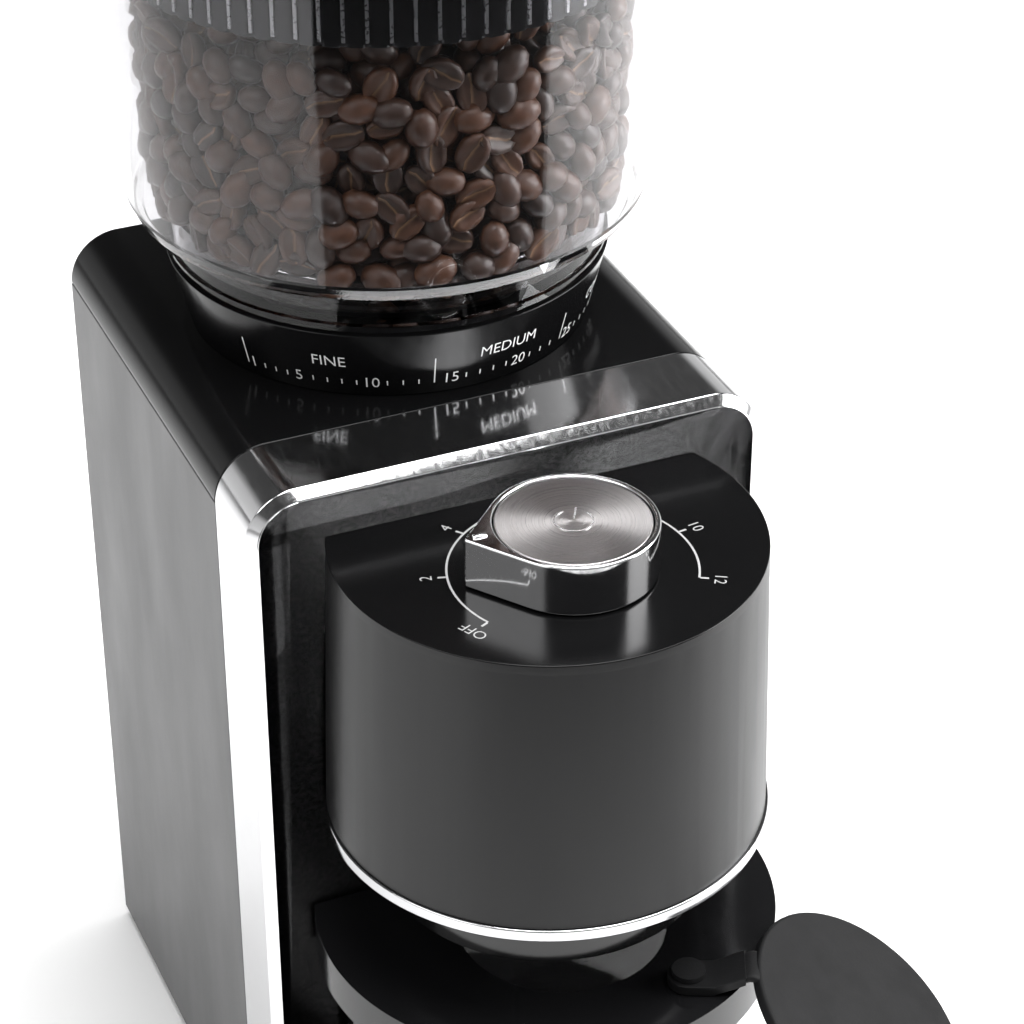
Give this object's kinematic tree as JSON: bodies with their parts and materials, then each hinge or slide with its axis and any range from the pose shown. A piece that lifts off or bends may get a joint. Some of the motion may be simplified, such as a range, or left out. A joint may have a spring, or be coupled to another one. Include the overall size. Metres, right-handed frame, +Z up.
{
  "type": "burr coffee grinder",
  "caption": "Upright electric burr coffee grinder: clear bean hopper on a scaled grind collar, dial drum with push-start knob, and a slide-out grounds container with a flap lid.",
  "frame": {"origin": "on the table under the plane of symmetry, at the point base_centre, below the feet", "axes": "+Z up, -Y towards the front where the container stands, +X to the right seen from the front"},
  "size_m": [0.1508, 0.2535, 0.3466],
  "materials": {
    "satin_grey": "satin",
    "drum_grey": "satin",
    "gloss_black": "polished",
    "matte_black": "moulded",
    "chrome": "polished",
    "spun_metal": "spun",
    "clear_plastic": "clear",
    "smoke_plastic": "smoked",
    "silicone": "matte",
    "foot_rubber": "matte",
    "steel": "machined",
    "burr_steel": "hardened",
    "zinc_plated": "plated",
    "bronze": "sintered",
    "nylon": "moulded",
    "ferrite": "sintered",
    "copper": "turned",
    "board_green": "laminate"
  },
  "bodies": {
    "housing": {"base_housing": "gloss_black", "base_cover": "matte_black", "rubber_feet": "foot_rubber", "base_screws": "zinc_plated", "side_panel_left": "satin_grey", "side_panel_right": "satin_grey", "top_cover": "gloss_black", "back_panel": "matte_black", "back_panel_screws": "zinc_plated", "cord_gland": "foot_rubber", "chrome_band": "chrome", "front_plate": "gloss_black", "drum_shell": "drum_grey", "drum_top_cap": "gloss_black", "drum_chrome_ring": "chrome", "discharge_skirt": "gloss_black", "grounds_chute": "matte_black", "timer_switch": "matte_black", "scale_collar": "gloss_black", "burr_housing": "matte_black", "shaft_bushes": "bronze", "gearbox_housing": "matte_black", "gearbox_cover": "matte_black", "gearbox_screws": "zinc_plated", "idler_axle": "steel", "motor_can": "zinc_plated", "motor_end_bell": "nylon", "motor_magnets": "ferrite", "motor_brushes": "ferrite", "control_board": "board_green", "board_pillars": "nylon", "board_relay": "matte_black", "board_capacitor": "matte_black", "interlock_switch": "matte_black"},
    "burr_drive": {"drive_shaft": "steel", "output_gear": "nylon", "cone_burr": "burr_steel", "burr_nut": "zinc_plated", "sweeper": "nylon"},
    "idler": {"idler_gear": "nylon"},
    "motor_armature": {"motor_rotor": "steel", "motor_shaft": "steel", "motor_pinion": "bronze", "commutator": "copper", "cooling_fan": "matte_black"},
    "adjuster": {"adjusting_ring": "matte_black"},
    "carrier": {"burr_carrier": "matte_black", "ring_burr": "burr_steel"},
    "hopper": {"hopper": "clear_plastic"},
    "hopper_lid": {"hopper_lid": "smoke_plastic"},
    "knob": {"timer_knob": "chrome", "knob_shaft": "matte_black", "button_spring": "silicone"},
    "button": {"start_button": "spun_metal"},
    "container": {"container": "clear_plastic"},
    "container_lid": {"container_lid": "gloss_black", "container_seal": "silicone", "flap_pin": "matte_black"},
    "flap_strap": {"flap_strap": "silicone"},
    "flap_disc": {"flap_disc": "silicone"}
  },
  "joints": [
    {"name": "burr_spin", "type": "hinge", "parent": "housing", "child": "burr_drive", "pos_m": [0, 0.048, 0.18], "axis": [0, 0, 1], "continuous": true},
    {"name": "idler_spin", "type": "hinge", "parent": "housing", "child": "idler", "pos_m": [0.02542, 0.02394, 0.14], "axis": [0, 0, 1], "continuous": true},
    {"name": "motor_spin", "type": "hinge", "parent": "housing", "child": "motor_armature", "pos_m": [0, 0.008, 0.1], "axis": [0, 0, 1], "continuous": true},
    {"name": "grind_adjust", "type": "hinge", "parent": "housing", "child": "adjuster", "pos_m": [0, 0.048, 0.21], "axis": [0, 0, 1], "range_deg": [-88, 40]},
    {"name": "carrier_travel", "type": "slide", "parent": "housing", "child": "carrier", "axis": [0, 0, 1], "range_m": [-0.0008, 0.0004]},
    {"name": "hopper_lift", "type": "slide", "parent": "adjuster", "child": "hopper", "axis": [0, 0, 1], "range_m": [0, 0.12]},
    {"name": "hopper_lid_lift", "type": "slide", "parent": "hopper", "child": "hopper_lid", "axis": [0, 0, 1], "range_m": [0, 0.06]},
    {"name": "knob_turn", "type": "hinge", "parent": "housing", "child": "knob", "pos_m": [0, -0.064, 0.213], "axis": [0, 0, 1], "range_deg": [-206, 30]},
    {"name": "start_button_press", "type": "slide", "parent": "knob", "child": "button", "axis": [0, 0, -1], "range_m": [0, 0.0015], "stiffness_N_per_m": 900, "springref_m": -0.0008, "deforming": ["button_spring"]},
    {"name": "container_slide", "type": "slide", "parent": "housing", "child": "container", "axis": [0, -1, 0], "range_m": [0, 0.15]},
    {"name": "container_lid_lift", "type": "slide", "parent": "container", "child": "container_lid", "axis": [0, 0, 1], "range_m": [0, 0.012]},
    {"name": "flap_swivel", "type": "hinge", "parent": "container_lid", "child": "flap_strap", "pos_m": [0.01855, -0.0921, 0.108], "axis": [0, 0, 1], "range_deg": [-70, 0]},
    {"name": "flap_bend", "type": "hinge", "parent": "flap_strap", "child": "flap_disc", "pos_m": [0.03347, -0.0989, 0.1132], "axis": [-0.4147, -0.91, 0], "range_deg": [-6, 70]}
  ],
  "couplings": [
    {"joint": "idler_spin", "follows": "burr_spin", "ratio": -4},
    {"joint": "motor_spin", "follows": "burr_spin", "ratio": 16},
    {"joint": "carrier_travel", "follows": "grind_adjust", "m_per_rad": 0.00047746}
  ]
}
